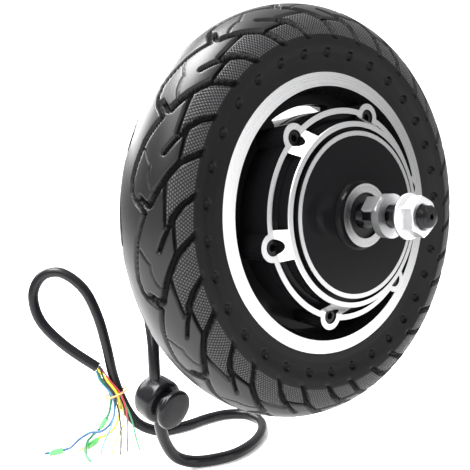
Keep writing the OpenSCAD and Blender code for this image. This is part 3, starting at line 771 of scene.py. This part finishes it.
def bung():
    """Domed body, a narrow waist for the panel's edge, and a smaller flange."""
    return turned_along("grommet", [
        (0.01, -9.0), (5.0, -9.0), (8.0, -8.9), (10.2, -8.3), (11.8, -7.2), (12.8, -5.6),
        (13.3, -3.6), (13.5, -1.0), (13.5, 2.5), (13.5, 5.0), (13.3, 6.6), (12.8, 7.7),
        (12.0, 8.4), (10.8, 8.8), (9.0, 9.05), (7.8, 9.4), (7.3, 10.0), (7.2, 11.5),
        (7.2, 13.2), (7.5, 13.9), (8.6, 14.2), (10.6, 14.3), (11.6, 14.6), (12.0, 15.3),
        (12.0, 16.6), (11.8, 17.6), (11.2, 18.3), (10.0, 18.6), (6.0, 18.6), (0.01, 18.6)],
        BUNG_AT, BUNG_AXIS, "bung", 96, 40)


grommet = bung()
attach(grommet, "axle")
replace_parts(grommet, "cable_grommet")


def phase_end(name, start, leg):
    """Bullet terminal: a crimped barrel with a rolled collar, a waist and a pin."""
    return turned_along(name, [
        (0.01, 0.02), (1.0, 0.02), (1.1, 0.3), (1.1, 1.2), (0.92, 1.6), (0.92, 2.6), (1.1, 3.0),
        (1.1, 4.6), (0.95, 5.0), (0.66, 5.4), (0.62, 6.6), (0.95, 7.1), (1.0, 7.6), (0.98, 10.2),
        (0.8, 11.2), (0.45, 11.9), (0.01, 12.0)], start, leg, "tin")


def hall_end(name, start, leg):
    """Crimped pin contact."""
    return turned_along(name, [
        (0.01, 0.02), (0.62, 0.02), (0.7, 0.2), (0.7, 2.2), (0.5, 2.6), (0.5, 3.4), (0.68, 3.7),
        (0.68, 5.6), (0.42, 6.1), (0.38, 7.4), (0.2, 7.95), (0.01, 8.0)], start, leg, "tin", 20)


# Where each insulating sleeve starts and ends
SLEEVES = {
    "phase_yellow": ((-98, 121.71, SLEEVE_Z), (-108, 115.29, SLEEVE_Z)),
    "phase_green": ((-94.9, 110.8, -147.8), (-98.5, 113.5, -155)),
    "phase_blue": ((-124, 119.47, SLEEVE_Z), (-133, 121.05, SLEEVE_Z)),
}


def sleeve(name):
    """Soft sleeve with rolled ends over a phase wire."""
    start, end = SLEEVES[name]
    along = Vector(end) - Vector(start)
    run = along.length
    tube = turned_along("sleeve_" + name, [
        (1.15, 0.0), (1.6, 0.0), (1.86, 0.35), (1.9, 1.2), (1.9, run - 1.6), (1.8, run - 0.5),
        (1.5, run), (1.15, run), (1.15, run - 1.0), (1.15, 1.0), (1.15, 0.0)],
        start, along, "sleeve")
    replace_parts(tube, "terminal_sleeves")
    return tube


for (name, _, diameter, route), (wire, wire_len) in zip(WIRES, wires):
    leg = Vector(route[-1]) - Vector(route[-2])
    if name.startswith("phase"):
        end = phase_end("terminal_" + name, route[-1], leg)
        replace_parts(end, "phase_terminals")
        pieces = [sleeve(name), end]
    else:
        end = hall_end("terminal_" + name, route[-1], (leg.x, leg.y, 0))
        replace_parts(end, "hall_terminals")
        pieces = [end]
    for piece in pieces:
        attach(piece, "axle")


# ---------------------------------------------------------------- floor and light

FLOOR_SPAN = 4.0


def studio_floor():
    """A plain pale floor just under the wheel."""
    data = bpy.data.meshes.new("floor")
    data.from_pydata([(x * FLOOR_SPAN, y * FLOOR_SPAN, FLOOR_Z * MM)
                      for x, y in ((-1, -1), (1, -1), (1, 1), (-1, 1))], [], [(0, 1, 2, 3)])
    look = Look("studio_floor", (0.93, 0.93, 0.93), 0.8)
    look.set("Emission Color", (1.0, 1.0, 1.0, 1.0))
    look.set("Emission Strength", 0.22)
    data.materials.append(look.mat)
    obj = bpy.data.objects.new("floor", data)
    scene.collection.objects.link(obj)
    return obj


def studio_sky():
    """White as a backdrop, and a soft light that grows towards the top."""
    world = bpy.data.worlds.new("studio")
    scene.world = world
    world.use_nodes = True
    nodes, links = world.node_tree.nodes, world.node_tree.links
    background = nodes["Background"]
    background.inputs["Color"].default_value = (1, 1, 1, 1)
    where = nodes.new("ShaderNodeTexCoord")
    apart = nodes.new("ShaderNodeSeparateXYZ")
    links.new(where.outputs["Generated"], apart.inputs[0])
    glow = nodes.new("ShaderNodeMapRange")
    glow.interpolation_type = "SMOOTHSTEP"
    for key, value in (("From Min", -0.35), ("From Max", 0.55), ("To Min", 0.42), ("To Max", 1.15)):
        glow.inputs[key].default_value = value
    links.new(apart.outputs["Z"], glow.inputs["Value"])
    seen = nodes.new("ShaderNodeLightPath")
    strength = nodes.new("ShaderNodeMix")
    strength.data_type = "FLOAT"
    links.new(seen.outputs["Is Camera Ray"], strength.inputs[0])
    links.new(glow.outputs["Result"], strength.inputs[2])
    strength.inputs[3].default_value = 1.6
    links.new(strength.outputs[0], background.inputs["Strength"])


studio_floor()
studio_sky()
scene.view_settings.view_transform = "Standard"


def softbox(name, at, aim, size, power):
    """A rectangular light that faces a point; places and sizes in metres."""
    light = bpy.data.lights.new(name, "AREA")
    light.shape = "RECTANGLE"
    light.size, light.size_y = size
    light.energy = power
    obj = bpy.data.objects.new(name, light)
    obj.location = at
    obj.rotation_euler = (Vector(aim) - Vector(at)).to_track_quat("-Z", "Y").to_euler()
    scene.collection.objects.link(obj)


softbox("key", (-0.75, -0.45, 0.75), (0, 0, 0), (0.5, 0.5), 7)
softbox("fill", (0.35, -0.9, 0.25), (0, 0, 0), (0.35, 0.8), 3)
softbox("top", (-0.42, 0.12, 1.0), (-0.05, 0, 0), (0.7, 0.5), 42)
softbox("back", (-0.35, 0.85, 0.55), (0, 0, 0.05), (0.9, 0.5), 20)
